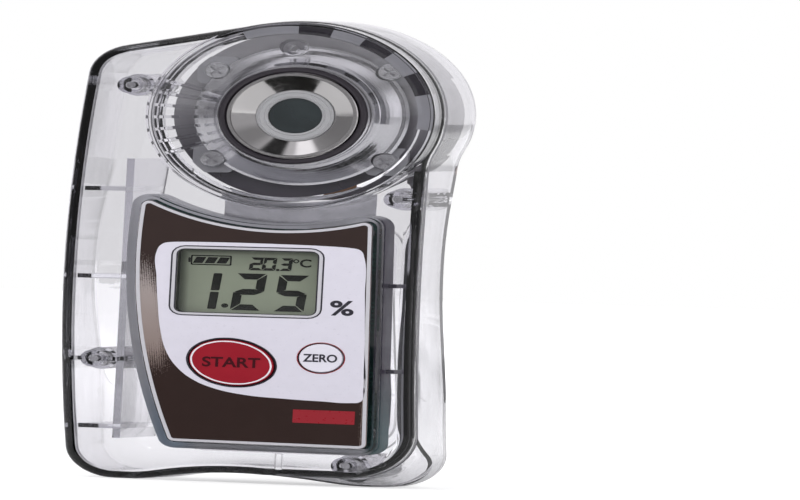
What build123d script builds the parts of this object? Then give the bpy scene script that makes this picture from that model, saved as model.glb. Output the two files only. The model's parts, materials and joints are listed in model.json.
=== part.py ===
from build123d import *
import math
import os

# Pocket refractometer with a clear moulded case, in millimetres.
# It stands on its lower end. +X is to the right seen from the front, +Y goes
# to the back and +Z is up. The origin is the middle of the base.

# Overall size of the closed case
WIDTH = 57.0
DEPTH = 31.0
HEIGHT = 109.0

# Round head that carries the sample stage, in the upper right of the case
HEAD_R = 22.25
HEAD_X = WIDTH / 2 - HEAD_R
HEAD_Z = HEIGHT - HEAD_R

# Outline of the case from the front
TOP_SLOPE = 14.0
LEFT_SIDE_R = 480.0
LEFT_SIDE_Z = 48.0
WAIST_INSET = 2.6
WAIST_Z = 46.0
NECK_INSET = 2.3
RIGHT_FOOT_INSET = 1.2
ARCH_R = 45.0
ARCH_X = 0.0
ARCH_RISE = 2.3
ARCH_EASE = 18.0
TOP_LEFT_R = 7.5
LOW_LEFT_R = 8.0
LOW_RIGHT_R = 7.5
CHIN_RISE = 2.1
CHIN_R = 10.5
CHIN_INSET = 1.8
CHIN_LENGTH = 12.0
NECK_R = 14.0

# Depths of the case, front to back
WALL = 1.8
TURRET_RISE = 3.6
PLATEAU_RISE = 0.8
COVER_DEPTH = 3.4
FRONT_Y = -DEPTH / 2
BACK_Y = DEPTH / 2
FACE_Y = FRONT_Y + TURRET_RISE
PLATEAU_Y = FACE_Y - PLATEAU_RISE
INNER_Y = FACE_Y + WALL
SEAM_Y = FACE_Y + COVER_DEPTH
COVER_EDGE_R = 2.2
BACK_EDGE_R = 6.5
HOLLOW_DEPTH = 5.4
HOLLOW_EDGE_R = 8.5
HOLLOW_LOW_Z = 20.0
HOLLOW_HIGH_Z = 75.5
HOLLOW_EASE = 0.4

# Small gaps between pieces that seat in each other
SLIP = 0.1
TOUCH = 0.05

# Seal in the seam between the two halves of the case
SEAL_WIDTH = 0.9
SEAL_DEPTH = 1.0

# Turret: a thin upright wall with a funnel that leads to the stage
TURRET_R = 22.0
TURRET_WALL = 0.9
FUNNEL_TOP_R = 19.8
FUNNEL_LOW_R = 13.2
FUNNEL_DROP = 2.6
FUNNEL_WALL = 1.6
STAGE_HOLE_R = 11.5

# Ring of blocks inside the turret wall, by angle from +X
RING_W = 1.6
RING_T = 2.6
RING_WEB = 0.6
RING_SPAN = (-8.0, 112.0)
DARK_BLOCKS = [22.0, 52.0, 81.0]
DARK_HALF = 7.2

# Sample stage, its collar and the prism
STAGE_RIM_R = 10.05
STAGE_RIM_WIDTH = 0.6
BOWL_LOW_R = 6.0
BOWL_DEPTH = 2.2
RIM_SINK = 2.2
STAGE_BACK_Y = -7.0
SHOULDER_DROP = 1.4
SHOULDER_T = 1.2
ORING_SECTION_R = 0.62
COLLAR_FRONT_R = 12.0
COLLAR_BACK_R = 16.4
COLLAR_EDGE = 0.6
COLLAR_BACK_Y = -6.4
PRISM_R = 4.1
PRISM_SINK = 2.4
PRISM_DEPTH = 9.0

# Bracket that holds the stage on the optics block
BRACKET_T = 1.0
BRACKET_R = 15.6
BRACKET_HOLE_R = 6.2
TAB_R = 3.2
STAGE_SCREW_X = 13.2
STAGE_SCREW_Z = 10.5
SCREW_R = 1.0
SCREW_HEAD_R = 1.9
SCREW_HEAD_T = 1.0

# Optics block behind the stage
BLOCK_R = 19.9
BLOCK_DEPTH = 13.4
BLOCK_RESTS = [90, 225, 315]
EJECTOR_MARKS = [(-10.3, -14.0), (7.8, -15.4)]
DUCT_ANGLE = 45.0
LAMP_R = 1.5
LENS_R = 2.6
DUCT_R = 2.75
LAMP_REACH = 8.0
LENS_REACH = 6.5
SENSOR_REACH = 11.5
SENSOR_T = 1.0
FLEX_T = 0.3
FLEX_W = 6.0
FLEX_X = HEAD_X + 4.8
FLEX_TOP_Z = HEAD_Z + 4.0

# Label with the display and the two keys
LABEL_T = 0.5
LABEL_LEFT_X = -16.0
LABEL_TOP_Z = 67.2
LABEL_RIGHT_TOP = (19.2, 62.6)
LABEL_RIGHT_LOW = (20.1, 9.2)
LABEL_LEFT_LOW = (-10.0, 9.4)
LABEL_CORNER_R = 1.2
LABEL_ARC_R = 27.0
PLATEAU_BORDER = 1.6

DISPLAY_X = 0.6
DISPLAY_Z = 47.5
WINDOW_W = 21.4
WINDOW_H = 14.7
WINDOW_T = 1.3
WINDOW_CORNER_R = 1.0
WINDOW_LIP = 1.2
LIP_T = 0.8
PANEL_W = 24.6
PANEL_H = 18.0
PANEL_T = 1.8
FRAME_RIM = 1.2

START_X = -1.0
START_Z = 28.4
START_LONG = 13.2
START_SHORT = 10.4
START_TILT = -17.0
ZERO_X = 12.6
ZERO_Z = 30.1
ZERO_D = 6.6
KEY_PROUD = 0.35
KEY_GAP = 0.2
KEY_SKIRT = 0.8
KEY_SKIRT_T = 0.8
KEY_TRAVEL = 0.5
KEY_STEM = 0.35

# Board and what is on it
BOARD_FRONT_Y = -6.2
BOARD_T = 1.6
FRAME_WALL = 1.2
FRAME_BACK_Y = -4.5
CLIP_PLACES = [27.3, 47.3]
BOARD_SCREWS = [(16.8, 12.8), (-7.0, 13.2), (17.2, 59.6), (-13.0, 61.5)]

# Chips on the board: place, width, height and how tall they stand
CHIPS = [
    (1.0, 47.5, 9.0, 9.0, 1.2), (5.0, 14.6, 7.0, 5.0, 1.3), (12.0, 13.6, 3.0, 2.0, 0.8),
    (-1.2, 15.0, 3.2, 1.6, 0.9), (16.8, 48.0, 2.6, 6.0, 1.2), (16.8, 41.0, 2.0, 1.2, 0.8),
]
MAT_FRONT_Y = -8.2
MAT_T = 0.9

# Battery space: two cells side by side, 10.5 mm across and 44.5 mm long
CELL_R = 5.25
CELL_LENGTH = 44.5
CELL_NUB_R = 1.9
CELL_NUB = 0.9
CELL_SPACING = 16.0
BATTERY_X = 1.0
CELL_Y = 2.9
TRAY_WALL = 1.2
TRAY_W = 30.0
TRAY_LOW_Z = 9.0
TRAY_HIGH_Z = 60.0
TRAY_FLOOR_Y = -3.9
PLATE_T = 0.4
SPRING_LENGTH = 3.0
SPRING_WIRE_R = 0.4
SPRING_R = 2.9
NUB_GAP = 0.3

# Battery cover, its seal and its coin screw
COVER_W = 34.0
COVER_LOW_Z = 8.5
COVER_HIGH_Z = 60.5
COVER_R = 6.0
COVER_GAP = 0.2
COVER_SEAL_T = 0.8
SEAL_CLEAR = 0.15
LEDGE_T = 1.2
LEDGE_W = 2.6
SCREW_Z = 34.0
COIN_HEAD_R = 4.0
COIN_HEAD_T = 1.8
COIN_SLOT = 1.4
COIN_SHANK_R = 1.5
COIN_SHANK = 10.5
CUP_FLOOR_Y = 9.4
CUP_FLOOR_T = 1.6
CUP_R = 5.0
POST_R = 2.7
INSERT_R = 2.0
INSERT_LENGTH = 6.0
POST_TOP_Y = CUP_FLOOR_Y - CUP_FLOOR_T - 0.6

# Screws that join the two halves, by place
CASE_SCREWS = [(-23.0, 28.3), (-19.5, 93.5), (16.5, 5.0), (22.2, 67.6)]
FRONT_BOSS_R = 2.0
BACK_BOSS_R = 2.6
BOSS_SPLIT_Y = -5.0
CASE_HEAD_R = 1.7
CASE_HEAD_SINK = 4.0

# Ribs of the left grip
GRIP_WALL_X = -19.2
GRIP_WALL_T = 1.2
GRIP_WALL_SPAN = (9.5, 76.0)
GRIP_RIBS = [12.2, 47.9, 68.8]
RIB_T = 1.0
CHIN_RIB_X = 6.4
CHIN_RIB_Z = 5.4
CHIN_RIB_H = 3.8


def slab(sketch, front, back):
    """Solid of a front view sketch between two depths."""
    return extrude(Plane.XZ.offset(-back) * sketch, amount=back - front)


def turned(points, x=HEAD_X, z=HEAD_Z):
    """Solid turned about a line along Y, from (radius, depth) points."""
    plane = Plane(origin=(x, 0, z), x_dir=(1, 0, 0), z_dir=(0, 0, 1))
    face = plane * make_face(Polyline(*points, close=True))
    return revolve(face, Axis((x, 0, z), (0, 1, 0)), 360)


def rod(x, z, radius, front, back):
    """Round bar along Y."""
    return slab(Pos(x, z) * Circle(radius), front, back)


def round_corner(sketch, corner, radius):
    """Sketch with the corner nearest to a point rounded."""
    nearest = sketch.vertices().sort_by_distance((corner[0], corner[1], 0))[0]
    return fillet(nearest, radius)


def arch():
    """Shallow arch between the feet, eased at both ends."""
    both = ARCH_R + ARCH_EASE
    reach = math.sqrt(2 * both * ARCH_RISE - ARCH_RISE ** 2)
    turn = math.asin(reach / both)

    def ease(side, part):
        bend = turn * part
        x = ARCH_X + side * (reach - ARCH_EASE * math.sin(bend))
        return (x, ARCH_EASE * (1 - math.cos(bend)))

    return [
        ThreePointArc(ease(-1, 0), ease(-1, 0.5), ease(-1, 1)),
        ThreePointArc(ease(-1, 1), (ARCH_X, ARCH_RISE), ease(1, 1)),
        ThreePointArc(ease(1, 1), ease(1, 0.5), ease(1, 0)),
    ]


def case_outline():
    """Rear half from the front: tall body with the round head at its upper right."""
    slope = math.radians(TOP_SLOPE)
    touch = (HEAD_X - HEAD_R * math.sin(slope), HEAD_Z + HEAD_R * math.cos(slope))
    centre_x = LEFT_SIDE_R - WIDTH / 2

    def left_x(z):
        return centre_x - math.sqrt(LEFT_SIDE_R ** 2 - (z - LEFT_SIDE_Z) ** 2)

    top_x = left_x(HEAD_Z + HEAD_R * 0.6)
    top_left = (top_x, touch[1] - (touch[0] - top_x) * math.tan(slope))
    neck_x = WIDTH / 2 - NECK_INSET
    neck = (neck_x, HEAD_Z - math.sqrt(HEAD_R ** 2 - (neck_x - HEAD_X) ** 2))
    low_left = (left_x(0), 0)
    low_right = (WIDTH / 2 - RIGHT_FOOT_INSET, 0)
    bottom = arch()
    head_side = (HEAD_X + HEAD_R * math.cos(slope), HEAD_Z + HEAD_R * math.sin(slope))
    edges = [
        Line(low_left, bottom[0] @ 0),
        *bottom,
        Line(bottom[-1] @ 1, low_right),
        ThreePointArc(low_right, (WIDTH / 2 - WAIST_INSET, WAIST_Z), neck),
        ThreePointArc(neck, head_side, touch),
        Line(touch, top_left),
        ThreePointArc(top_left, (-WIDTH / 2, LEFT_SIDE_Z), low_left),
    ]
    face = make_face(edges)
    face = round_corner(face, low_left, LOW_LEFT_R)
    face = round_corner(face, low_right, LOW_RIGHT_R)
    face = round_corner(face, top_left, TOP_LEFT_R)
    return round_corner(face, neck, NECK_R)


def chin_cut(inset=0.0):
    """What the front half lacks at its lower right, where it is higher and rounder."""
    edge_x = WIDTH / 2 - CHIN_INSET - inset
    low = CHIN_RISE + inset
    radius = CHIN_R - inset
    bend = radius * math.sqrt(0.5)
    centre = (edge_x - radius, low + radius)
    return make_face([
        Line((ARCH_X, -2), (ARCH_X, low)),
        Line((ARCH_X, low), (centre[0], low)),
        ThreePointArc((centre[0], low), (centre[0] + bend, centre[1] - bend), (edge_x, centre[1])),
        Line((edge_x, centre[1]), (WIDTH, centre[1])),
        Line((WIDTH, centre[1]), (WIDTH, -2)),
        Line((WIDTH, -2), (ARCH_X, -2)),
    ])


REAR_OUTLINE = case_outline()
OUTLINE = REAR_OUTLINE - chin_cut()


def grown(sketch, amount):
    """Sketch moved outwards all round, with plain arcs for its curved edges."""
    edges = [
        ThreePointArc(edge @ 0, edge @ 0.5, edge @ 1) if edge.geom_type == GeomType.OFFSET else edge
        for edge in offset(sketch, amount=amount).edges()
    ]
    return make_face(edges)


def outline(inset):
    """Front half's outline, moved inwards."""
    return grown(OUTLINE, -inset) if inset else OUTLINE


def chin(inset):
    """Cutter that brings the rear half up to the front half's lower right corner."""
    way = Vector(CHIN_RISE / 2, 0, -CHIN_RISE - 0.8)
    near = Plane.XZ.offset(-SEAM_Y) * chin_cut(inset)
    far = Plane.XZ.offset(-SEAM_Y - CHIN_LENGTH) * chin_cut(inset)
    return loft([near, Pos(way) * far], ruled=True)


def hollow(inset):
    """What is taken off the back so that it has a waist for the hand."""
    waist = BACK_Y - HOLLOW_DEPTH
    points = [
        (-DEPTH, 10), (BACK_Y + 2.7, 10), (waist, 45), (waist, 59), (BACK_Y + 2.1, 82),
        (-DEPTH, 82),
    ]
    profile = make_face(FilletPolyline(*points, radius=[0, 0, 55, 42, 0, 0], close=True))
    if inset:
        profile = offset(profile, amount=-inset, kind=Kind.INTERSECTION)
    left = -WIDTH / 2 - HOLLOW_EASE + inset
    right = WIDTH / 2 - WAIST_INSET + 1 - inset
    kept = extrude(Plane.YZ.offset(left) * profile, amount=right - left)
    sides = [
        edge for edge in kept.edges()
        if abs((edge @ 0).X - (edge @ 1).X) < 0.01 and (edge @ 0.5).Y > 5
        and 13 < (edge @ 0.5).Z < 80 and edge.length > 1
    ]
    kept = fillet(sides, HOLLOW_EDGE_R - inset)
    middle = (HOLLOW_LOW_Z + HOLLOW_HIGH_Z) / 2
    band = Pos(0, middle) * Rectangle(2 * WIDTH, HOLLOW_HIGH_Z - HOLLOW_LOW_Z)
    return slab(band, -2, BACK_Y + 10) - kept


def back_body(inset):
    """Solid of the rear half, moved inwards on its sides and back."""
    plan = grown(REAR_OUTLINE, -inset) if inset else REAR_OUTLINE
    body = slab(plan, SEAM_Y, BACK_Y - inset)
    back = body.faces().sort_by(Axis.Y)[-1]
    return fillet(back.edges(), BACK_EDGE_R - inset) - hollow(inset) - chin(inset)


def label_outline(margin=0.0):
    """Label: its top edge follows the round head, its left edge curves in."""
    arc_x = HEAD_X - 2.5
    arc_z = HEAD_Z - math.sqrt(LABEL_ARC_R ** 2 - (arc_x - HEAD_X) ** 2)
    top_left = (LABEL_LEFT_X, LABEL_TOP_Z)
    edges = [
        Line(LABEL_LEFT_LOW, LABEL_RIGHT_LOW),
        Line(LABEL_RIGHT_LOW, LABEL_RIGHT_TOP),
        ThreePointArc(LABEL_RIGHT_TOP, (arc_x, arc_z), top_left),
        ThreePointArc(top_left, (LABEL_LEFT_X + 0.3, 37), LABEL_LEFT_LOW),
    ]
    face = make_face(edges)
    for corner in (LABEL_LEFT_LOW, LABEL_RIGHT_LOW, LABEL_RIGHT_TOP, top_left):
        face = round_corner(face, corner, LABEL_CORNER_R)
    return grown(face, margin) if margin else face


def rounded(x, z, width, height, radius):
    """Rounded rectangle in the front view."""
    return Pos(x, z) * RectangleRounded(width, height, radius)


def start_outline(margin=0.0):
    """The tilted oval of the larger key."""
    oval = Ellipse(START_LONG / 2 + margin, START_SHORT / 2 + margin)
    return Pos(START_X, START_Z) * Rot(0, 0, START_TILT) * oval


def zero_outline(margin=0.0):
    """The round key."""
    return Pos(ZERO_X, ZERO_Z) * Circle(ZERO_D / 2 + margin)


def display_outline(margin=0.0):
    """The clear pane over the display."""
    width, height = WINDOW_W + 2 * margin, WINDOW_H + 2 * margin
    return rounded(DISPLAY_X, DISPLAY_Z, width, height, WINDOW_CORNER_R + max(margin, 0))


def seal_ring(clearance=0.0):
    """Ring that follows the case just inside its edge, at the seam."""
    outer = outline(-clearance)
    inner = outline(SEAL_WIDTH + clearance)
    deep = SEAL_DEPTH / 2 + clearance
    return slab(outer, SEAM_Y - deep, SEAM_Y + deep) - slab(inner, SEAM_Y - 2, SEAM_Y + 2)


def turret():
    """Upright wall and funnel of the turret, in one turned piece."""
    low_y = FRONT_Y + FUNNEL_DROP
    wall_r = TURRET_R - TURRET_WALL
    under_y = low_y + FUNNEL_WALL
    return turned([
        (TURRET_R, SEAM_Y), (TURRET_R, FRONT_Y + 0.5), (TURRET_R - 0.5, FRONT_Y),
        (FUNNEL_TOP_R + 0.4, FRONT_Y), (FUNNEL_TOP_R, FRONT_Y + 0.2),
        (FUNNEL_LOW_R, low_y), (STAGE_HOLE_R, low_y), (STAGE_HOLE_R, under_y),
        (FUNNEL_LOW_R + 0.2, under_y), (FUNNEL_TOP_R - 0.5, FRONT_Y + FUNNEL_WALL + 0.2),
        (wall_r, FRONT_Y + FUNNEL_WALL + 0.2), (wall_r, SEAM_Y),
    ])


def stage_boss():
    """Clear pillar with a blind hole above the stage, inside the turret."""
    z = HEAD_Z + 16.2
    pillar = rod(HEAD_X - 0.6, z, 1.9, FRONT_Y + 2.0, FACE_Y + 2.6)
    return pillar - rod(HEAD_X - 0.6, z, 0.9, FRONT_Y + 3.4, SEAM_Y)


def funnel_ribs():
    """Fine upright ribs under the left of the funnel."""
    ribs = Part()
    low_y = FRONT_Y + FUNNEL_DROP
    for step in range(7):
        angle = 158 + 8 * step
        rib = extrude(
            Plane.XZ.offset(-SEAM_Y - 0.5) * Pos(HEAD_X, HEAD_Z) * Rot(0, 0, angle)
            * Pos(18.35, 0) * Rectangle(5.9, 0.7), amount=SEAM_Y + 0.5 - low_y)
        ribs += rib
    return ribs


def front_housing():
    """Clear front half: rounded cover, label plateau, turret, bosses and openings."""
    cover = slab(OUTLINE, FACE_Y, SEAM_Y)
    cover = fillet(cover.faces().sort_by(Axis.Y)[0].edges(), COVER_EDGE_R)
    cover -= slab(outline(WALL), INNER_Y, SEAM_Y + 1)
    plateau = slab(label_outline(PLATEAU_BORDER), PLATEAU_Y, FACE_Y + 0.5)
    plateau = chamfer(plateau.faces().sort_by(Axis.Y)[0].edges(), 0.5)
    cover += plateau
    cover -= rod(HEAD_X, HEAD_Z, TURRET_R - TURRET_WALL / 2, FRONT_Y - 1, SEAM_Y + 1)
    cover += turret() + stage_boss() + funnel_ribs()
    room = slab(outline(WALL + SLIP), SEAM_Y, BOSS_SPLIT_Y)
    for x, z in CASE_SCREWS:
        cover += rod(x, z, FRONT_BOSS_R, INNER_Y - 0.3, SEAM_Y)
        cover += rod(x, z, FRONT_BOSS_R, SEAM_Y, BOSS_SPLIT_Y) & room
    chin_rib = Pos(CHIN_RIB_X, CHIN_RIB_Z) * Rectangle(RIB_T, CHIN_RIB_H)
    cover += slab(chin_rib, INNER_Y - 0.3, SEAM_Y)
    cover += slab(grip_rib(CASE_SCREWS[0][1]), INNER_Y - 0.3, SEAM_Y)
    for x, z in CASE_SCREWS:
        cover -= rod(x, z, SCREW_R - 0.2, INNER_Y + 0.6, BOSS_SPLIT_Y + 1)
    cover -= slab(label_outline(SLIP), PLATEAU_Y - 1, PLATEAU_Y + LABEL_T)
    lip = display_outline(WINDOW_LIP + SLIP)
    cover -= slab(lip, PLATEAU_Y, PLATEAU_Y + LABEL_T + LIP_T)
    cover -= slab(display_outline(SLIP), PLATEAU_Y, INNER_Y + 1)
    cover -= slab(start_outline(KEY_GAP), PLATEAU_Y, INNER_Y + 1)
    cover -= slab(zero_outline(KEY_GAP), PLATEAU_Y, INNER_Y + 1)
    return cover - seal_ring(TOUCH)


def cover_plan(margin=0.0):
    """Battery cover seen from the front."""
    middle = (COVER_LOW_Z + COVER_HIGH_Z) / 2
    height = COVER_HIGH_Z - COVER_LOW_Z + 2 * margin
    return rounded(BATTERY_X, middle, COVER_W + 2 * margin, height, COVER_R + margin)


def through(sketch):
    """Column that runs through the whole rear half."""
    return slab(sketch, SEAM_Y - 1, BACK_Y + 2)


def cup(radius, floor_y, front_y):
    """Round column at the coin screw."""
    return rod(BATTERY_X, SCREW_Z, radius, front_y, floor_y)


class BackBodies:
    """The rear half at the few insets that its layers are made from."""

    full = back_body(0)
    inner = back_body(WALL)
    seal = back_body(WALL + COVER_SEAL_T)
    seal_face = back_body(WALL + COVER_SEAL_T - SEAL_CLEAR)
    ledge = back_body(WALL + COVER_SEAL_T + LEDGE_T)


def rear_bosses():
    """Pillars for the case screws."""
    bosses = Part()
    for x, z in CASE_SCREWS:
        bosses += rod(x, z, BACK_BOSS_R, BOSS_SPLIT_Y + TOUCH, BACK_Y)
    return bosses & BackBodies.full


def grip_rib(z):
    """Cross rib of the left grip, in the front view."""
    left, right = -WIDTH / 2 + WALL / 2, GRIP_WALL_X
    return Pos((left + right) / 2, z) * Rectangle(right - left, RIB_T)


def grip_ribs():
    """Upright wall and cross ribs that stiffen the left grip."""
    low, high = GRIP_WALL_SPAN
    wall = slab(Pos(GRIP_WALL_X, (low + high) / 2) * Rectangle(GRIP_WALL_T, high - low),
                SEAM_Y + 0.3, BACK_Y)
    for z in GRIP_RIBS:
        wall += slab(grip_rib(z), SEAM_Y + 0.8, BACK_Y)
    wall += slab(grip_rib(CASE_SCREWS[0][1]), BOSS_SPLIT_Y + TOUCH, BACK_Y)
    return wall & slab(outline(WALL / 2), SEAM_Y, BACK_Y) & BackBodies.full


def block_rests():
    """Three pillars that the optics block sits on."""
    rests = Part()
    for angle in BLOCK_RESTS:
        x = HEAD_X + 15.5 * math.cos(math.radians(angle))
        z = HEAD_Z + 15.5 * math.sin(math.radians(angle))
        rests += rod(x, z, 2.2, COLLAR_BACK_Y + BRACKET_T + BLOCK_DEPTH, BACK_Y)
    return rests & BackBodies.full


def rear_housing():
    """Clear rear half: deep shell, cover opening with its ledge, ribs and bosses."""
    shell = BackBodies.full - BackBodies.inner
    shell += rear_bosses() + grip_ribs() + block_rests()
    for x, z in CASE_SCREWS:
        shell -= rod(x, z, SCREW_R + 0.15, SEAM_Y, BACK_Y + 1)
        depth = surface_depth(x, z)
        shell -= rod(x, z, CASE_HEAD_R + 0.2, depth - CASE_HEAD_SINK, BACK_Y + 1)
    border = through(cover_plan(WALL)) - through(cover_plan(COVER_GAP))
    shell += border & (BackBodies.inner - BackBodies.ledge)
    shell -= through(cover_plan(COVER_GAP)) & BackBodies.full - BackBodies.seal
    rim = through(cover_plan(WALL)) - through(cover_plan(-LEDGE_W))
    shell += rim & (BackBodies.seal - BackBodies.ledge)
    return shell - seal_ring(TOUCH)


def surface_depth(x, z):
    """Depth of the back surface at a place."""
    needle = rod(x, z, 0.05, 0, BACK_Y + 1) & BackBodies.full
    return needle.bounding_box().max.Y


def battery_cover():
    """Clear cover that continues the back of the case, with a cup for its screw."""
    cover = through(cover_plan()) & (BackBodies.full - BackBodies.inner)
    cup_wall = cup(CUP_R, BACK_Y, CUP_FLOOR_Y - CUP_FLOOR_T) & BackBodies.full
    cover += cup_wall
    cover -= cup(COIN_HEAD_R + 0.2, BACK_Y + 1, CUP_FLOOR_Y)
    return cover - cup(COIN_SHANK_R + SLIP, BACK_Y, 0)


def cover_seal():
    """Flat seal between the cover and its ledge."""
    ring = through(cover_plan(-0.6)) - through(cover_plan(-LEDGE_W + 0.2))
    return (ring & BackBodies.inner) - BackBodies.seal_face


def battery_tray():
    """Open tub for the two cells, with the post for the coin screw."""
    middle = (TRAY_LOW_Z + TRAY_HIGH_Z) / 2
    outer = rounded(BATTERY_X, middle, TRAY_W, TRAY_HIGH_Z - TRAY_LOW_Z, 2.5)
    inner = rounded(BATTERY_X, middle, TRAY_W - 2 * TRAY_WALL,
                    TRAY_HIGH_Z - TRAY_LOW_Z - 2 * TRAY_WALL, 1.3)
    tub = slab(outer, TRAY_FLOOR_Y, BACK_Y) - slab(inner, TRAY_FLOOR_Y + TRAY_WALL, BACK_Y)
    tub &= back_body(WALL + COVER_SEAL_T + LEDGE_T + SLIP)
    top = POST_TOP_Y
    tub += cup(POST_R, top, TRAY_FLOOR_Y + TRAY_WALL / 2)
    return tub - cup(INSERT_R, top + 1, top - INSERT_LENGTH) - cup(COIN_SHANK_R + 0.2, top, -2.2)


def threaded_insert():
    """Brass insert in the post."""
    top = POST_TOP_Y
    bush = cup(INSERT_R - 0.02, top, top - INSERT_LENGTH)
    bush -= cup(COIN_SHANK_R + 0.06, top + 1, -5)
    return chamfer(bush.edges().group_by(Axis.Y)[-1], 0.15)


def coin_screw():
    """Captive screw with a wide slot for a coin."""
    top = CUP_FLOOR_Y + TOUCH
    head = cup(COIN_HEAD_R, top + COIN_HEAD_T, top)
    head = fillet(head.faces().sort_by(Axis.Y)[-1].edges(), 0.4)
    slot = Pos(BATTERY_X, SCREW_Z) * Rectangle(COIN_HEAD_R * 2 - 1.6, COIN_SLOT)
    head -= slab(slot, top + COIN_HEAD_T - 1.1, top + COIN_HEAD_T + 1)
    shank = cup(COIN_SHANK_R, top, top - COIN_SHANK)
    groove_y = CUP_FLOOR_Y - CUP_FLOOR_T - 0.35
    groove = cup(2, groove_y + 0.15, groove_y - 0.15) - cup(1.2, groove_y + 1, groove_y - 1)
    return head + shank - groove


def coin_screw_clip():
    """Thin ring that keeps the screw in its cover."""
    groove_y = CUP_FLOOR_Y - CUP_FLOOR_T - 0.35
    ring = cup(2.4, groove_y + 0.12, groove_y - 0.12) - cup(1.22, groove_y + 1, groove_y - 1)
    gap = Pos(BATTERY_X + 2, SCREW_Z) * Rectangle(3, 1.6)
    return ring - slab(gap, groove_y - 1, groove_y + 1)


def cell(side):
    """One battery cell; the left one has its raised end up, the right one down."""
    up = side < 0
    low = TRAY_LOW_Z + TRAY_WALL + PLATE_T + (SPRING_LENGTH if up else NUB_GAP)
    body = CELL_LENGTH - CELL_NUB
    at_base = (Align.CENTER, Align.CENTER, Align.MIN)
    can = Cylinder(CELL_R, body, align=at_base)
    can = Pos(0, 0, 0 if up else CELL_NUB) * fillet(can.edges(), 0.4)
    nub = Pos(0, 0, body - 0.5 if up else 0) * Cylinder(CELL_NUB_R, CELL_NUB + 0.5, align=at_base)
    return Pos(BATTERY_X + side * CELL_SPACING / 2, CELL_Y, low) * (can + nub)


def battery_contacts():
    """Flat plates at both ends of the cells."""
    low = TRAY_LOW_Z + TRAY_WALL + PLATE_T / 2
    high = TRAY_HIGH_Z - TRAY_WALL - PLATE_T / 2
    plates = Part()
    for side in (-1, 1):
        x = BATTERY_X + side * CELL_SPACING / 2
        for z in (low, high):
            plates += Pos(x, CELL_Y - 0.6, z) * Box(8.4, 7.6, PLATE_T)
    return plates


def battery_springs():
    """Cone springs, pressed together, at the flat end of each cell."""
    springs = Part()
    pitch = (SPRING_LENGTH - 2 * SPRING_WIRE_R - TOUCH) / 3
    low = TRAY_LOW_Z + TRAY_WALL + PLATE_T
    high = TRAY_HIGH_Z - TRAY_WALL - PLATE_T
    for side, end, way in ((-1, low, 1), (1, high, -1)):
        for turn in range(4):
            z = end + way * (SPRING_WIRE_R + turn * pitch)
            ring = Torus(SPRING_R - 0.2 * turn, SPRING_WIRE_R)
            springs += Pos(BATTERY_X + side * CELL_SPACING / 2, CELL_Y, z) * ring
    return springs


def sample_stage():
    """Polished bowl with a raised rim, a seat for the prism and a seal shoulder."""
    rim_y = FRONT_Y + RIM_SINK
    low_y = rim_y + BOWL_DEPTH
    shoulder_y = rim_y + SHOULDER_DROP
    body_r = STAGE_RIM_R + 0.25
    bore_r = PRISM_R + 0.3
    return turned([
        (bore_r, low_y + 0.9), (BOWL_LOW_R, low_y + 0.9), (BOWL_LOW_R, low_y),
        (STAGE_RIM_R - STAGE_RIM_WIDTH - 0.15, rim_y + 0.2),
        (STAGE_RIM_R - STAGE_RIM_WIDTH, rim_y), (STAGE_RIM_R - 0.15, rim_y),
        (STAGE_RIM_R, rim_y + 0.15), (STAGE_RIM_R, shoulder_y),
        (STAGE_HOLE_R - SLIP, shoulder_y), (STAGE_HOLE_R - SLIP, shoulder_y + SHOULDER_T),
        (body_r, shoulder_y + SHOULDER_T), (body_r, STAGE_BACK_Y), (bore_r, STAGE_BACK_Y),
    ])


def stage_oring():
    """Round seal between the stage and the housing."""
    shoulder_y = FRONT_Y + RIM_SINK + SHOULDER_DROP
    middle_r = (STAGE_RIM_R + STAGE_HOLE_R) / 2
    plane = Plane(origin=(HEAD_X, 0, HEAD_Z), x_dir=(1, 0, 0), z_dir=(0, 0, 1))
    section = plane * Pos(middle_r, shoulder_y - ORING_SECTION_R - 0.02) * Circle(ORING_SECTION_R)
    return revolve(section, Axis((HEAD_X, 0, HEAD_Z), (0, 1, 0)), 360)


def stage_collar():
    """Bright cone ring around the stage, with a flat edge at its back."""
    front_y = FRONT_Y + RIM_SINK + SHOULDER_DROP + SHOULDER_T
    bore_r = STAGE_RIM_R + 0.25 + TOUCH
    edge_y = COLLAR_BACK_Y - COLLAR_EDGE
    ring = turned([
        (bore_r, front_y), (COLLAR_FRONT_R, front_y), (COLLAR_FRONT_R + 0.6, front_y + 0.5),
        (COLLAR_BACK_R - 0.5, edge_y), (COLLAR_BACK_R, edge_y + 0.1),
        (COLLAR_BACK_R, COLLAR_BACK_Y), (bore_r, COLLAR_BACK_Y),
    ])
    for x, z in screw_places():
        ring -= rod(x, z, SCREW_HEAD_R + 0.15, front_y, COLLAR_BACK_Y + 1)
    return ring


def prism_ring():
    """Stepped seal that frames the prism."""
    low_y = FRONT_Y + RIM_SINK + BOWL_DEPTH
    inner_r = PRISM_R + TOUCH
    outer_r = BOWL_LOW_R - TOUCH
    return turned([
        (inner_r, low_y + 0.9), (outer_r, low_y + 0.9), (outer_r, low_y - 0.1),
        (outer_r - 0.45, low_y - 0.35), (outer_r - 0.6, low_y - 0.2),
        (inner_r + 0.55, low_y - 0.2), (inner_r + 0.4, low_y - 0.35), (inner_r, low_y - 0.1),
    ])


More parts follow.
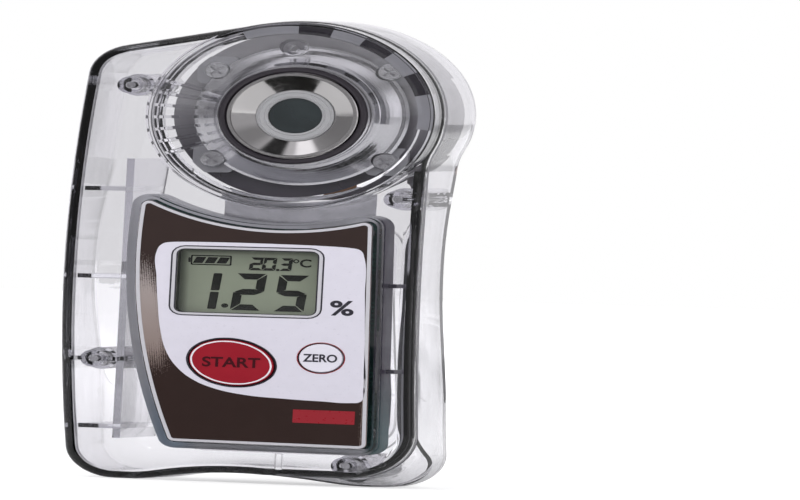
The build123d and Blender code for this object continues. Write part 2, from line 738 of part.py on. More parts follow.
def prism():
    """Glass prism: round measuring face, wedge behind it."""
    front_y = FRONT_Y + PRISM_SINK + BOWL_DEPTH
    neck_y = STAGE_BACK_Y
    face = rod(HEAD_X, HEAD_Z, PRISM_R, front_y, neck_y + 0.5)
    back_y = front_y + PRISM_DEPTH
    wedge = [
        (-PRISM_R, neck_y), (PRISM_R, neck_y), (PRISM_R, back_y - 3.6), (1.2, back_y),
        (-1.2, back_y), (-PRISM_R, back_y - 3.6),
    ]
    plane = Plane(origin=(HEAD_X, 0, HEAD_Z), x_dir=(1, 0, 0), z_dir=(0, 0, 1))
    solid = extrude(plane * make_face(Polyline(*wedge, close=True)), amount=3.4, both=True)
    return face + solid


def screw_places():
    """The four stage screws, by place."""
    return [
        (HEAD_X + a * STAGE_SCREW_X, HEAD_Z + b * STAGE_SCREW_Z)
        for a in (-1, 1) for b in (-1, 1)
    ]


def stage_bracket():
    """Plate with four screw tabs that clamps the collar on the optics block."""
    back = COLLAR_BACK_Y + BRACKET_T
    plan = Pos(HEAD_X, HEAD_Z) * Circle(BRACKET_R)
    for x, z in screw_places():
        angle = math.degrees(math.atan2(z - HEAD_Z, x - HEAD_X))
        reach = math.hypot(STAGE_SCREW_X, STAGE_SCREW_Z)
        arm = Pos(reach / 2, 0) * Rectangle(reach, 2 * TAB_R)
        plan += Pos(HEAD_X, HEAD_Z) * Rot(0, 0, angle) * arm
        plan += Pos(x, z) * RectangleRounded(2 * TAB_R, 2 * TAB_R, 1.2)
    plan &= Pos(HEAD_X, HEAD_Z) * Circle(BLOCK_R)
    plan -= Pos(HEAD_X, HEAD_Z) * Circle(BRACKET_HOLE_R)
    plan -= Pos(HEAD_X, HEAD_Z - 8.4) * Circle(1.1)
    for x, z in screw_places():
        plan -= Pos(x, z) * Circle(SCREW_R + 0.1)
    return slab(plan, COLLAR_BACK_Y, back)


def cross_screw(x, z, head_y, head_r, shank_r, length, away):
    """Screw along Y. The head's flat side lies at head_y; away is -1 for a head in front."""
    tip = head_y - away * length
    head_top = head_y + away * SCREW_HEAD_T
    screw = rod(x, z, head_r, min(head_y, head_top), max(head_y, head_top))
    screw = chamfer(screw.edges().sort_by(Axis.Y)[-1 if away > 0 else 0], 0.2)
    cut_to = head_top - away * 0.6
    for angle in (45, 135):
        bar = Pos(x, z) * Rot(0, 0, angle) * Rectangle(head_r * 1.3, 0.45)
        screw -= slab(bar, min(head_top + away, cut_to), max(head_top + away, cut_to))
    return screw + rod(x, z, shank_r, min(head_y, tip), max(head_y, tip))


def stage_screws():
    """The four screws that hold the stage, as one group."""
    group = [
        cross_screw(x, z, COLLAR_BACK_Y, SCREW_HEAD_R, SCREW_R, 6.0, -1)
        for x, z in screw_places()
    ]
    return Compound(children=group)


def case_screws():
    """The screws that join the two halves, driven from the back, as one group."""
    group = []
    for x, z in CASE_SCREWS:
        head_y = surface_depth(x, z) - CASE_HEAD_SINK
        length = head_y - (INNER_Y + 1.2)
        group.append(cross_screw(x, z, head_y, CASE_HEAD_R, SCREW_R - 0.25, length, 1))
    return Compound(children=group)


def duct_plane(side, reach):
    """Plane across a light duct, at a distance from the prism."""
    lean = math.radians(DUCT_ANGLE)
    way = Vector(side * math.sin(lean), math.cos(lean), 0)
    start = Vector(HEAD_X, FRONT_Y + PRISM_SINK + BOWL_DEPTH + PRISM_DEPTH - 2.5, HEAD_Z)
    return Plane(origin=start + way * reach, x_dir=(0, 0, 1), z_dir=way)


def optics_block():
    """Dark round block with a prism well, two light ducts and a sensor pocket."""
    front = COLLAR_BACK_Y + BRACKET_T
    back = front + BLOCK_DEPTH
    block = rod(HEAD_X, HEAD_Z, BLOCK_R, front, back)
    block = chamfer(block.edges().group_by(Axis.Y)[-1], 1.2)
    block -= rod(HEAD_X, HEAD_Z, BRACKET_HOLE_R, front - 1, front + 5.5)
    for side in (-1, 1):
        block -= extrude(duct_plane(side, 0) * Circle(DUCT_R), amount=30)
    pocket = duct_plane(1, SENSOR_REACH - 1) * Rectangle(17, 13)
    block -= extrude(pocket, amount=20)
    block -= rod(HEAD_X, HEAD_Z - 8.4, 0.9, front - 1, back + 1)
    for x, z in screw_places():
        block -= rod(x, z, SCREW_R - 0.1 + 0.15, front - 1, front + 5.6)
    for x, z in EJECTOR_MARKS:
        block -= rod(HEAD_X + x, HEAD_Z + z, 2.1, front - 1, front + 0.15)
    return block


def led_lamp():
    """Small lamp with a domed front and a rim, in the left duct."""
    spot = duct_plane(-1, LAMP_REACH)
    body = extrude(spot * Circle(LAMP_R), amount=3.4)
    rim = extrude(spot.offset(2.6) * Circle(DUCT_R - 0.1), amount=0.9)
    dome = spot * Sphere(LAMP_R)
    return body + rim + dome


def condenser_lens():
    """Lens with two curved faces, in the right duct."""
    spot = duct_plane(1, LENS_REACH)
    ball_r = 5.0
    drop = ball_r - 0.9
    disc = extrude(spot * Circle(LENS_R), amount=1.0, both=True)
    front = spot * Pos(0, 0, drop) * Sphere(ball_r)
    back = spot * Pos(0, 0, -drop) * Sphere(ball_r)
    return disc & front & back


def image_sensor():
    """Line sensor chip at the end of the right duct."""
    spot = duct_plane(1, SENSOR_REACH)
    return extrude(spot * Rectangle(7.5, 3.2), amount=SENSOR_T)


def sensor_board():
    """Small board that carries the sensor, in the pocket of the block."""
    spot = duct_plane(1, SENSOR_REACH + SENSOR_T)
    return extrude(spot * Rectangle(15.5, 8.0), amount=1.0)


def thermistor():
    """Heat sensor on the back of the stage, with two leads."""
    z = HEAD_Z - 8.4
    bead = rod(HEAD_X, z, 1.0, STAGE_BACK_Y + TOUCH, COLLAR_BACK_Y)
    end = COLLAR_BACK_Y + BRACKET_T + BLOCK_DEPTH + 0.6
    for side in (-1, 1):
        bead += rod(HEAD_X + 0.4 * side, z, 0.25, STAGE_BACK_Y + 0.3, end)
    return bead


def turret_ring():
    """Frosted ring of blocks inside the turret wall, with pockets for dark ones."""
    ring = slab(ring_sector(*RING_SPAN), ring_front(), ring_front() + RING_T)
    return ring - slab(ring_pockets(TOUCH), ring_front() - 1, ring_front() + RING_T - RING_WEB)


def turret_inserts():
    """Dark blocks in the pockets of the ring, as one group."""
    group = [
        slab(ring_sector(angle - DARK_HALF, angle + DARK_HALF), ring_front(),
             ring_front() + RING_T - RING_WEB)
        for angle in DARK_BLOCKS
    ]
    return Compound(children=group)


def ring_front():
    """Depth of the front of the ring, under the rim of the turret."""
    return FRONT_Y + FUNNEL_WALL + 0.2 + TOUCH


def ring_sector(start, end):
    """Part of the ring between two angles, in the front view."""
    outer = TURRET_R - TURRET_WALL - TOUCH
    inner = outer - RING_W
    far = 2 * outer
    middle = math.radians((start + end) / 2)
    points = [(0, 0)] + [
        (far * math.cos(math.radians(a)), far * math.sin(math.radians(a)))
        for a in (start, math.degrees(middle), end)
    ]
    wedge = make_face(Polyline(*points, close=True))
    ring = Circle(outer) - Circle(inner)
    return Pos(HEAD_X, HEAD_Z) * (ring & wedge)


def ring_pockets(margin):
    """Pockets of the dark blocks, in the front view."""
    pockets = Sketch()
    for angle in DARK_BLOCKS:
        turn = math.degrees(margin / TURRET_R) + DARK_HALF
        pockets += ring_sector(angle - turn, angle + turn)
    return pockets


def label_plate():
    """Printed plate with openings for the display and the keys."""
    plan = label_outline() - display_outline(SLIP) - start_outline(KEY_GAP)
    plan -= zero_outline(KEY_GAP)
    return slab(plan, PLATEAU_Y, PLATEAU_Y + LABEL_T)


def lcd_window():
    """Clear pane with a lip behind the label."""
    pane = slab(display_outline(), PLATEAU_Y, PLATEAU_Y + LABEL_T + LIP_T)
    lip = display_outline(WINDOW_LIP)
    return pane + slab(lip, PLATEAU_Y + LABEL_T, PLATEAU_Y + LABEL_T + LIP_T)


def lcd_panel():
    """Display glass behind the window."""
    plan = Pos(DISPLAY_X, DISPLAY_Z) * Rectangle(PANEL_W, PANEL_H)
    return slab(plan, INNER_Y + TOUCH, INNER_Y + TOUCH + PANEL_T)


def lcd_frame():
    """Frame that holds the display on the board."""
    hole = Pos(DISPLAY_X, DISPLAY_Z) * Rectangle(PANEL_W + 2 * SLIP, PANEL_H + 2 * SLIP)
    outer = rounded(DISPLAY_X, DISPLAY_Z, PANEL_W + 2 * FRAME_RIM, PANEL_H + 2 * FRAME_RIM, 0.8)
    return slab(outer - hole, INNER_Y + TOUCH, BOARD_FRONT_Y)


def zebra_strips():
    """Two elastic strips that join the display to the board."""
    group = []
    for side in (-1, 1):
        z = DISPLAY_Z + side * (PANEL_H / 2 - 1.2)
        plan = Pos(DISPLAY_X, z) * Rectangle(PANEL_W - 2, 1.6)
        group.append(slab(plan, INNER_Y + TOUCH + PANEL_T, BOARD_FRONT_Y))
    return Compound(children=group)


def frame_outer():
    """Outer edge of the board frame, under the border of the label."""
    return label_outline(PLATEAU_BORDER - TOUCH)


def board_frame():
    """Dark frame around the board, with two small clips on its right side."""
    hole = label_outline(PLATEAU_BORDER - TOUCH - FRAME_WALL)
    frame = slab(frame_outer() - hole, INNER_Y + TOUCH, FRAME_BACK_Y)
    for z in CLIP_PLACES:
        x = label_right_x(z) + PLATEAU_BORDER + 0.4
        frame += slab(Pos(x, z) * Rectangle(1.6, 0.9), BOARD_FRONT_Y - 1.2, FRAME_BACK_Y)
    return frame


def label_right_x(z):
    """Right edge of the label at a height."""
    low, top = LABEL_RIGHT_LOW, LABEL_RIGHT_TOP
    return low[0] + (top[0] - low[0]) * (z - low[1]) / (top[1] - low[1])


def main_board():
    """Circuit board, inside its frame."""
    plan = label_outline(PLATEAU_BORDER - TOUCH - FRAME_WALL - SLIP)
    board = slab(plan, BOARD_FRONT_Y, BOARD_FRONT_Y + BOARD_T)
    for x, z in BOARD_SCREWS:
        board -= rod(x, z, 0.9, BOARD_FRONT_Y - 1, FRAME_BACK_Y + 1)
    return board


def board_chips():
    """Chips and a plug socket on the front of the board, as one group."""
    group = []
    for x, z, width, height, tall in CHIPS:
        plan = Pos(x, z) * Rectangle(width, height)
        group.append(slab(plan, BOARD_FRONT_Y - tall, BOARD_FRONT_Y))
    return Compound(children=group)


def board_screws():
    """Small screws that hold the board, as one group."""
    group = [
        cross_screw(x, z, BOARD_FRONT_Y, 1.3, 0.8, BOARD_T + 0.1, -1) for x, z in BOARD_SCREWS
    ]
    return Compound(children=group)


def dome_switches():
    """A metal dome on the board behind each key, as one group."""
    group = []
    for x, z in ((START_X, START_Z), (ZERO_X, ZERO_Z)):
        points = [(0, BOARD_FRONT_Y - 0.5), (1.6, BOARD_FRONT_Y - 0.35), (2.4, BOARD_FRONT_Y)]
        group.append(turned(points + [(0, BOARD_FRONT_Y)], x, z))
    return Compound(children=group)


def key_mat():
    """Elastic mat between the keys and the switches."""
    left, right = START_X - START_LONG / 2 - 1.2, ZERO_X + ZERO_D / 2 + 2.4
    place = ((left + right) / 2, (START_Z + ZERO_Z) / 2)
    width, height = right - left, START_SHORT + 4.4
    plan = rounded(*place, width, height, 2.0)
    mat = slab(plan, MAT_FRONT_Y, MAT_FRONT_Y + MAT_T)
    low = MAT_FRONT_Y + MAT_T
    for x, z in ((START_X, START_Z), (ZERO_X, ZERO_Z)):
        mat += rod(x, z, 0.9, low - 0.1, BOARD_FRONT_Y - 0.5 - TOUCH)
    foot = plan - rounded(*place, width - 2, height - 2, 1.2)
    return mat + slab(foot, low - 0.1, BOARD_FRONT_Y)


def key(outline_at, x, z):
    """Key cap with a skirt behind the cover and a stem towards the mat."""
    cap = slab(outline_at(0), PLATEAU_Y - KEY_PROUD, INNER_Y + TOUCH + KEY_SKIRT_T)
    cap = fillet(cap.faces().sort_by(Axis.Y)[0].edges(), 0.25)
    top = INNER_Y + TOUCH
    cap += slab(outline_at(KEY_SKIRT), top, top + KEY_SKIRT_T)
    return cap + rod(x, z, 1.8, top + 0.2, top + KEY_SKIRT_T + KEY_STEM)


def shield_plate():
    """Bright curved plate between the head and the label."""
    gap = math.hypot(LABEL_RIGHT_TOP[0] - HEAD_X, LABEL_RIGHT_TOP[1] - HEAD_Z)
    zone = Pos(HEAD_X, HEAD_Z) * (Circle(gap + 4) - Circle(BLOCK_R + 0.5))
    limit = Pos(DISPLAY_X + 6.4, LABEL_RIGHT_TOP[1]) * Rectangle(23.0, 12.0)
    plan = (zone & limit) - label_outline(PLATEAU_BORDER)
    return slab(plan, BOARD_FRONT_Y - 1.2, BOARD_FRONT_Y - 0.8)


def flex_cable():
    """Flat cable from the back of the optics block down to the board."""
    back = COLLAR_BACK_Y + BRACKET_T + BLOCK_DEPTH + FLEX_T / 2 + TOUCH
    low = FRAME_BACK_Y + FLEX_T / 2 + TOUCH
    path = FilletPolyline(
        (back, FLEX_TOP_Z), (back, TRAY_HIGH_Z + 4.2), (low, TRAY_HIGH_Z + 2.6),
        (low, TRAY_HIGH_Z - 3.4), radius=0.8)
    band = trace(path, FLEX_T)
    return extrude(Plane.YZ.offset(FLEX_X - FLEX_W / 2) * band, amount=FLEX_W)


PIECES = {
    "front_housing": front_housing,
    "rear_housing": rear_housing,
    "housing_gasket": seal_ring,
    "turret_ring": turret_ring,
    "turret_inserts": turret_inserts,
    "label_plate": label_plate,
    "lcd_window": lcd_window,
    "lcd_panel": lcd_panel,
    "lcd_frame": lcd_frame,
    "zebra_strips": zebra_strips,
    "board_frame": board_frame,
    "main_board": main_board,
    "board_chips": board_chips,
    "board_screws": board_screws,
    "dome_switches": dome_switches,
    "key_mat": key_mat,
    "start_key": lambda: key(start_outline, START_X, START_Z),
    "zero_key": lambda: key(zero_outline, ZERO_X, ZERO_Z),
    "sample_stage": sample_stage,
    "stage_oring": stage_oring,
    "stage_collar": stage_collar,
    "stage_bracket": stage_bracket,
    "stage_screws": stage_screws,
    "prism_ring": prism_ring,
    "prism": prism,
    "thermistor": thermistor,
    "optics_block": optics_block,
    "led_lamp": led_lamp,
    "condenser_lens": condenser_lens,
    "image_sensor": image_sensor,
    "sensor_board": sensor_board,
    "flex_cable": flex_cable,
    "shield_plate": shield_plate,
    "battery_tray": battery_tray,
    "battery_left": lambda: cell(-1),
    "battery_right": lambda: cell(1),
    "battery_contacts": battery_contacts,
    "battery_springs": battery_springs,
    "threaded_insert": threaded_insert,
    "battery_cover": battery_cover,
    "cover_seal": cover_seal,
    "coin_screw": coin_screw,
    "coin_screw_clip": coin_screw_clip,
    "case_screws": case_screws,
}

os.makedirs("parts", exist_ok=True)
for name, make in PIECES.items():
    export_step(make(), f"parts/{name}.step")
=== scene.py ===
import json
import math

import bpy
import numpy
from mathutils import Matrix, Vector


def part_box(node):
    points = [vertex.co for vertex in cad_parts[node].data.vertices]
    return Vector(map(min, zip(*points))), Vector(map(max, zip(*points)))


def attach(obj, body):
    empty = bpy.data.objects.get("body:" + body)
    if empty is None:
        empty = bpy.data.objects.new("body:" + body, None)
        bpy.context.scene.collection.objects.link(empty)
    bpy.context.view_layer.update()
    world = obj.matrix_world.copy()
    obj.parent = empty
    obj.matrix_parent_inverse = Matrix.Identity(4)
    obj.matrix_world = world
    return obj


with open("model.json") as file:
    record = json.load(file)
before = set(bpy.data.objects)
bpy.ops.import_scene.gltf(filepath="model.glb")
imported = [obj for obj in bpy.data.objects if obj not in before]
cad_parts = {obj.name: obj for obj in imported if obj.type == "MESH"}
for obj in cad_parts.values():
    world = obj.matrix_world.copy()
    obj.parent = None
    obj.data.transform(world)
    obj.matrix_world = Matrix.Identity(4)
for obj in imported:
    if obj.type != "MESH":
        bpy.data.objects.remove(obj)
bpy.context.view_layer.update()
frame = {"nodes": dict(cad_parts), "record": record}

# The photograph is squeezed: what is as high as wide measures 0.625 of its width.
SQUEEZE = 0.625
AZIMUTH = math.radians(13.5)
ELEVATION = math.radians(1.0)
ROLL = math.radians(2.0)
DISTANCE = 3.0
PIXELS_PER_M = 6860.0
PHOTO_W, PHOTO_H = 800, 500
WELL_PIXEL = (294.6, 114.9)
WELL = Vector((0.00625, -0.011, 0.08675))
SENSOR = 36.0

MM = 0.001
LABEL_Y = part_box("label_plate")[0][1]
PANEL_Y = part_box("lcd_panel")[0][1]
START_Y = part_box("start_key")[0][1]
ZERO_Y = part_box("zero_key")[0][1]
SKIN = 0.03 * MM
PRINT_THICK = 0.02 * MM
SEAM_Y = (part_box("housing_gasket")[0][1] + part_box("housing_gasket")[1][1]) / 2

# Places on the label in millimetres, across and up, and slants
DISPLAY_MIDDLE = (0.6, 47.5)
START_MIDDLE = (-1.0, 28.4)
START_TILT = -17
DIGIT_LEAN = 0.09


def middle(node):
    """Middle of a node's box."""
    low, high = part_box(node)
    return (Vector(low) + Vector(high)) / 2


def make_camera():
    """Long lens at the photograph's angle, with the photograph's squeeze."""
    forward = Vector((
        -math.sin(AZIMUTH) * math.cos(ELEVATION),
        math.cos(AZIMUTH) * math.cos(ELEVATION),
        -math.sin(ELEVATION),
    ))
    level = forward.cross(Vector((0, 0, 1))).normalized()
    upright = level.cross(forward)
    right = level * math.cos(ROLL) + upright * math.sin(ROLL)
    up = upright * math.cos(ROLL) - level * math.sin(ROLL)
    across = (PHOTO_W / 2 - WELL_PIXEL[0]) / PIXELS_PER_M
    down = (PHOTO_H / 2 - WELL_PIXEL[1]) / (PIXELS_PER_M * SQUEEZE)
    aim = WELL + right * across - up * down
    # The first camera axis leans towards the view, which squeezes the picture's height.
    lean = right * SQUEEZE + forward * math.sqrt(1 - SQUEEZE ** 2)
    axes = numpy.array(Matrix((lean, up, -forward)).transposed())
    turn, stretch, inner = numpy.linalg.svd(axes)
    if numpy.linalg.det(turn) < 0:
        turn[:, 2] *= -1
        inner[2, :] *= -1
    stand = bpy.data.objects.new("camera_stand", None)
    bpy.context.scene.collection.objects.link(stand)
    stand.rotation_mode = "QUATERNION"
    stand.location = aim - forward * DISTANCE
    stand.rotation_quaternion = Matrix(turn.tolist()).to_quaternion()
    stand.scale = stretch.tolist()
    data = bpy.data.cameras.new("camera")
    data.sensor_width = SENSOR
    data.lens = DISTANCE * PIXELS_PER_M * SQUEEZE * SENSOR / PHOTO_W
    data.clip_end = 100
    camera = bpy.data.objects.new("camera", data)
    bpy.context.scene.collection.objects.link(camera)
    camera.parent = stand
    camera.rotation_mode = "QUATERNION"
    camera.rotation_quaternion = Matrix(inner.tolist()).to_quaternion()
    bpy.context.scene.camera = camera


class Shader:
    """Node tree of one material, with short calls for the nodes used here."""

    def __init__(self, name, shader="ShaderNodeBsdfPrincipled"):
        self.material = bpy.data.materials.new(name)
        self.material.use_nodes = True
        self.tree = self.material.node_tree
        self.tree.nodes.clear()
        self.output = self.tree.nodes.new("ShaderNodeOutputMaterial")
        self.surface = self.tree.nodes.new(shader)
        self.link(self.surface.outputs[0], self.output.inputs["Surface"])
        self.coordinates = self.tree.nodes.new("ShaderNodeTexCoord").outputs["Object"]

    def link(self, source, target):
        self.tree.links.new(source, target)

    def put(self, node, name, value):
        """Give a socket a number, a colour or another node's output."""
        socket = node.inputs[name]
        if isinstance(value, bpy.types.NodeSocket):
            self.link(value, socket)
        elif socket.type == "RGBA" and len(value) == 3:
            socket.default_value = (*value, 1)
        else:
            socket.default_value = value

    def node(self, kind, settings=None, **sockets):
        node = self.tree.nodes.new(kind)
        for name, value in (settings or {}).items():
            setattr(node, name, value)
        for name, value in sockets.items():
            self.put(node, int(name[1:]) if name[0] == "_" else name, value)
        return node

    def noise(self, scale, detail=3.0, source=None, stretch=None):
        """Soft random values, 0 to 1. Scale is in spots per metre."""
        place = source or self.coordinates
        if stretch:
            place = self.node("ShaderNodeMapping", Vector=place, Scale=stretch).outputs[0]
        node = self.node("ShaderNodeTexNoise", Vector=place, Scale=scale, Detail=detail)
        return node.outputs["Fac"]

    def ramp(self, value, low, high, start=0.0, end=1.0):
        """Value moved from one range to another, held at both ends."""
        node = self.node("ShaderNodeMapRange")
        for name, item in (("Value", value), ("From Min", low), ("From Max", high),
                           ("To Min", start), ("To Max", end)):
            self.put(node, name, item)
        return node.outputs[0]

    def math(self, operation, first, second=0.0):
        return self.node("ShaderNodeMath", {"operation": operation}, _0=first, _1=second).outputs[0]

    def mix(self, factor, first, second):
        """Colour between two colours."""
        node = self.node("ShaderNodeMix", {"data_type": "RGBA"})
        self.put(node, 0, factor)
        self.put(node, 6, first)
        self.put(node, 7, second)
        return node.outputs[2]

    def axes(self):
        """X, Y and Z of the place on the object."""
        return self.node("ShaderNodeSeparateXYZ", Vector=self.coordinates).outputs

    def bump(self, height, distance, strength=1.0):
        node = self.node("ShaderNodeBump", Height=height, Strength=strength, Distance=distance)
        self.put(self.surface, "Normal", node.outputs[0])

    def set(self, **sockets):
        for name, value in sockets.items():
            self.put(self.surface, name.replace("_", " "), value)


def scaled(colour, factor):
    return tuple(min(1.0, c * factor) for c in colour)


def finish(name, colour, rough, vary=0.06, patch=250.0, grain=4000.0, depth=0.004, wear=0.0,
           **sockets):
    """Surface with uneven colour and gloss, fine grain and paler worn edges."""
    shader = Shader(name)
    patches = shader.ramp(shader.noise(patch), 0.35, 0.65)
    tone = shader.mix(patches, scaled(colour, 1 - vary), scaled(colour, 1 + vary))
    if wear:
        edges = shader.node("ShaderNodeNewGeometry").outputs["Pointiness"]
        worn = shader.math("MULTIPLY", shader.ramp(edges, 0.52, 0.62), shader.noise(patch * 6))
        tone = shader.mix(shader.math("MULTIPLY", worn, wear), tone, scaled(colour, 1.8))
    shader.put(shader.surface, "Base Color", tone)
    gloss = shader.noise(patch * 3, 5.0)
    uneven = shader.ramp(gloss, 0.3, 0.7, rough * 0.88, min(1, rough * 1.12))
    shader.put(shader.surface, "Roughness", uneven)
    shader.bump(shader.noise(grain, 4.0), depth * MM)
    shader.set(**sockets)
    return shader


def let_light_in(shader, joint_y=None):
    """Let lamps shine through a clear surface, and let faces that touch at a joint vanish."""
    passing = shader.node("ShaderNodeLightPath").outputs["Is Shadow Ray"]
    if joint_y is not None:
        off = shader.math("ABSOLUTE", shader.math("SUBTRACT", shader.axes()[1], joint_y))
        touching = shader.math("LESS_THAN", off, 0.01 * MM)
        passing = shader.math("MAXIMUM", passing, touching)
    clear = shader.node("ShaderNodeBsdfTransparent").outputs[0]
    both = shader.node("ShaderNodeMixShader", _0=passing, _1=shader.surface.outputs[0], _2=clear)
    shader.link(both.outputs[0], shader.output.inputs["Surface"])


def clear_plastic(name, colour, rough, absorb=0.0, joint_y=None):
    """Moulded clear plastic with faint flow waves and handling marks, greyer where it is thick."""
    shader = Shader(name)
    marks = shader.ramp(shader.noise(160.0, 6.0), 0.45, 0.75)
    tone = shader.mix(shader.noise(60.0), scaled(colour, 0.985), colour)
    shader.put(shader.surface, "Base Color", tone)
    shader.put(shader.surface, "Roughness", shader.ramp(marks, 0.0, 1.0, rough, rough + 0.05))
    flow = shader.noise(70.0, 2.0, stretch=(1.0, 1.0, 0.35))
    shader.bump(flow, 0.25 * MM, 0.35)
    shader.set(IOR=1.49, Transmission_Weight=1.0, Specular_IOR_Level=0.5)
    let_light_in(shader, joint_y)
    if absorb:
        inside = shader.node("ShaderNodeVolumeAbsorption", Color=(0.80, 0.798, 0.82), Density=absorb)
        shader.link(inside.outputs[0], shader.output.inputs["Volume"])
    return shader


def turned_metal(name, colour, rough, centre, pitch=5200.0, depth=0.004, **sockets):
    """Metal turned about a line along Y, with fine rings."""
    shader = Shader(name)
    x, y, z = shader.axes()
    dx = shader.math("SUBTRACT", x, centre.x)
    dz = shader.math("SUBTRACT", z, centre.z)
    squares = [shader.math("POWER", side, 2.0) for side in (dx, dz)]
    radius = shader.math("SQRT", shader.math("ADD", *squares))
    along = shader.math("ADD", radius, shader.math("MULTIPLY", y, 0.7))
    rings = shader.math("SINE", shader.math("MULTIPLY", along, pitch * math.pi))
    soft = shader.math("MULTIPLY", rings, shader.noise(900.0))
    tone = shader.mix(shader.noise(300.0, 4.0), scaled(colour, 0.93), scaled(colour, 1.05))
    shader.put(shader.surface, "Base Color", tone)
    gloss = shader.ramp(shader.noise(1200.0, 5.0), 0.3, 0.7, rough * 0.7, rough * 1.3)
    shader.put(shader.surface, "Roughness", gloss)
    shader.bump(soft, depth * MM, 0.5)
    shader.set(Metallic=1.0, **sockets)
    return shader


def label_material():
    """Dark printed plate whose left and right edges fade to a fine silver dot screen."""
    shader = finish("label_print", (0.030, 0.017, 0.015), 0.35, vary=0.03, grain=7000.0, depth=0.0008,
                    Specular_IOR_Level=0.3)
    dark = shader.surface.inputs["Base Color"].links[0].from_socket
    x, y, z = shader.axes()
    low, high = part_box("label_plate")
    lean = shader.ramp(z, 10 * MM, 62 * MM, 6.5 * MM, 0.0)
    curved = shader.math("SUBTRACT", x, lean)
    left = shader.ramp(curved, low[0] + 0.3 * MM, low[0] + 4.2 * MM, 1.0, 0.0)
    right = shader.ramp(x, high[0] - 1.6 * MM, high[0] - 0.2 * MM, 0.0, 0.9)
    low_fade = shader.ramp(z, 22 * MM, 34 * MM)
    top_fade = shader.ramp(z, 43 * MM, 57 * MM, 1.0, 0.0)
    left = shader.math("MULTIPLY", left, shader.math("MULTIPLY", low_fade, top_fade))
    fade = shader.math("MAXIMUM", left, right)
    dots = shader.node("ShaderNodeTexVoronoi", Vector=shader.coordinates, Scale=3600.0,
                       Randomness=0.15).outputs["Distance"]
    size = shader.math("MULTIPLY", fade, 0.75)
    dot = shader.ramp(shader.math("SUBTRACT", size, dots), -0.03, 0.03)
    warm = shader.ramp(z, 30 * MM, 50 * MM)
    silver = shader.mix(warm, (0.46, 0.36, 0.33), (0.50, 0.44, 0.43))
    shader.put(shader.surface, "Base Color", shader.mix(dot, dark, silver))
    shader.put(shader.surface, "Metallic", shader.math("MULTIPLY", dot, 0.6))
    return shader


def display_material():
    """Reflective display glass: grey-green, with a painted shadow along its top and left edges where the
    frame shades it.
    """
    shader = finish("display_glass", (0.40, 0.44, 0.34), 0.3, vary=0.01, grain=9000.0, depth=0.0006,
                    Specular_IOR_Level=0.15)
    tone = shader.surface.inputs["Base Color"].links[0].from_socket
    x, y, z = shader.axes()
    centre = middle("lcd_window")
    low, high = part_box("lcd_window")
    half_w = (high[0] - low[0]) / 2 - 1.2 * MM
    half_h = (high[2] - low[2]) / 2 - 1.2 * MM
    # Painted shadow: the display's top and left edges are darkened to stand in for the shade cast by the
    # frame round it.
    top = shader.ramp(z, centre.z + half_h - 1.1 * MM, centre.z + half_h - 0.1 * MM)
    side = shader.ramp(x, centre.x - half_w + 1.4 * MM, centre.x - half_w + 0.1 * MM)
    painted_shadow = shader.math("MAXIMUM", top, side)
    shader.put(shader.surface, "Base Color", shader.mix(painted_shadow, tone, (0.13, 0.15, 0.11)))
    return shader


def frame_material():
    """Moulding round the board: frosted clear, dark strip at the right, blue-green low end."""
    shader = finish("frame_black", (0.045, 0.040, 0.062), 0.4, vary=0.15, patch=120.0, wear=0.5,
                    Specular_IOR_Level=0.2)
    strip = shader.surface.inputs["Base Color"].links[0].from_socket
    x, y, z = shader.axes()
    low_end = shader.ramp(z, 27 * MM, 12 * MM)
    strip = shader.mix(low_end, strip, (0.06, 0.13, 0.14))
    right = shader.ramp(x, 19.0 * MM, 20.2 * MM)
    clear = shader.math("SUBTRACT", 1.0, right)
    tint = shader.mix(shader.math("MULTIPLY", low_end, shader.ramp(x, -6 * MM, -9 * MM)),
                      (0.66, 0.66, 0.70), (0.36, 0.44, 0.54))
    shader.put(shader.surface, "Base Color", shader.mix(right, tint, strip))
    shader.put(shader.surface, "Transmission Weight", shader.math("MULTIPLY", clear, 0.4))
    let_light_in(shader)
    return shader


def block_material():
    """Moulded block under the stage: dark below the well, greyer above it."""
    shader = finish("block_dark", (0.075, 0.068, 0.085), 0.5, wear=0.4, Specular_IOR_Level=0.15)
    dark = shader.surface.inputs["Base Color"].links[0].from_socket
    x, y, z = shader.axes()
    well = middle("sample_stage")
    above = shader.ramp(z, well.z - 9 * MM, well.z + 3 * MM)
    cloud = shader.ramp(shader.noise(110.0, 2.0), 0.35, 0.65, 0.75, 1.0)
    shader.put(shader.surface, "Base Color",
               shader.mix(shader.math("MULTIPLY", above, cloud), dark, (0.50, 0.49, 0.52)))
    return shader


def board_material():
    """Circuit board lacquer with copper tracks under it."""
    shader = finish("board_green", (0.012, 0.036, 0.036), 0.35, vary=0.12, grain=2500.0, depth=0.01)
    base = shader.surface.inputs["Base Color"].links[0].from_socket
    x, y, z = shader.axes()
    upright = shader.node("ShaderNodeCombineXYZ", X=x, Y=z, Z=y).outputs[0]
    grid = shader.node("ShaderNodeTexBrick", {"offset": 0.5}, Vector=upright, Scale=260.0,
                       Color1=(0, 0, 0), Color2=(0, 0, 0), Mortar=(1, 1, 1))
    grid.inputs["Mortar Size"].default_value = 0.035
    tracks = shader.math("MULTIPLY", grid.outputs["Color"], shader.ramp(shader.noise(200.0), 0.45, 0.55))
    shader.put(shader.surface, "Base Color", shader.mix(tracks, base, (0.03, 0.10, 0.085)))
    shader.set(Coat_Weight=0.3)
    return shader


